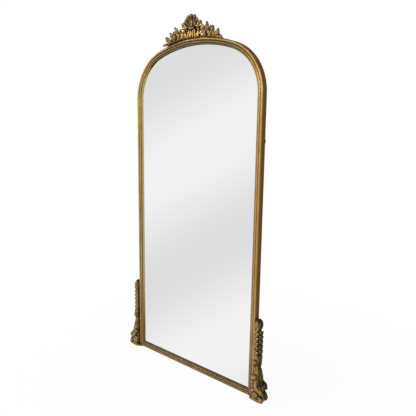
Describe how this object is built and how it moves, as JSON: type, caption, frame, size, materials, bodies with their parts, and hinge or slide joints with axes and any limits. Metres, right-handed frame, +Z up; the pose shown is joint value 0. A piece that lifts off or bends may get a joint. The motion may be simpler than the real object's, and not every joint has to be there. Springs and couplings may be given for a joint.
{
  "type": "arched floor mirror",
  "caption": "Tall arched mirror in a gilt moulded frame with a carved palmette crest and carved bracket feet, for standing on a floor and leaning on or hanging from a wall.",
  "frame": {"origin": "on the floor, midway between the feet, midway between the feet's front scrolls and the hanging rings behind", "axes": "+Z up, front of the glass faces -Y, +X to the right seen from the front"},
  "size_m": [1.0066, 0.0642, 1.908],
  "materials": {
    "gilt_wood": "antique gold leaf over red-brown ground, dark wash in the quirks, satin",
    "gilt_casting": "antique gold leaf on cast composition, burnished on the high parts, dark in the hollows",
    "silvered_glass": "clear float glass silvered behind",
    "foam_sheet": "thin closed-cell foam",
    "panel_board": "brown fibreboard",
    "rubber": "matt black",
    "felt": "dark brown felt",
    "zinc_steel": "zinc plated",
    "screw_steel": "yellow zinc plated"
  },
  "bodies": {
    "frame": {"back_panel": "panel_board", "back_panel_screws": "screw_steel", "bottom_rail": "gilt_wood", "corner_plates": "zinc_steel", "crest_palmette": "gilt_casting", "crest_pins": "screw_steel", "crown_rail": "gilt_wood", "cushion_sheet": "foam_sheet", "foot_pins": "screw_steel", "hanger_screws": "screw_steel", "joint_plates": "zinc_steel", "left_crest_spray": "gilt_casting", "left_foot_bracket": "gilt_casting", "left_foot_leaves": "gilt_casting", "left_foot_pad": "felt", "left_foot_scroll": "gilt_casting", "left_hanger_strap": "zinc_steel", "left_shoulder": "gilt_wood", "left_stile": "gilt_wood", "mirror_glass": "silvered_glass", "plate_screws": "screw_steel", "right_crest_spray": "gilt_casting", "right_foot_bracket": "gilt_casting", "right_foot_leaves": "gilt_casting", "right_foot_pad": "felt", "right_foot_scroll": "gilt_casting", "right_hanger_strap": "zinc_steel", "right_shoulder": "gilt_wood", "right_stile": "gilt_wood", "setting_blocks": "rubber", "wall_bumpers": "rubber"},
    "left_ring": {"left_hanger_ring": "zinc_steel"},
    "right_ring": {"right_hanger_ring": "zinc_steel"}
  },
  "joints": [
    {"name": "right_ring_swing", "type": "hinge", "parent": "frame", "child": "right_ring", "pos_m": [0.422, 0.02874, 1.3], "axis": [1, 0, 0], "range_deg": [0, 170]},
    {"name": "left_ring_swing", "type": "hinge", "parent": "frame", "child": "left_ring", "pos_m": [-0.422, 0.02874, 1.3], "axis": [1, 0, 0], "range_deg": [0, 170]}
  ]
}
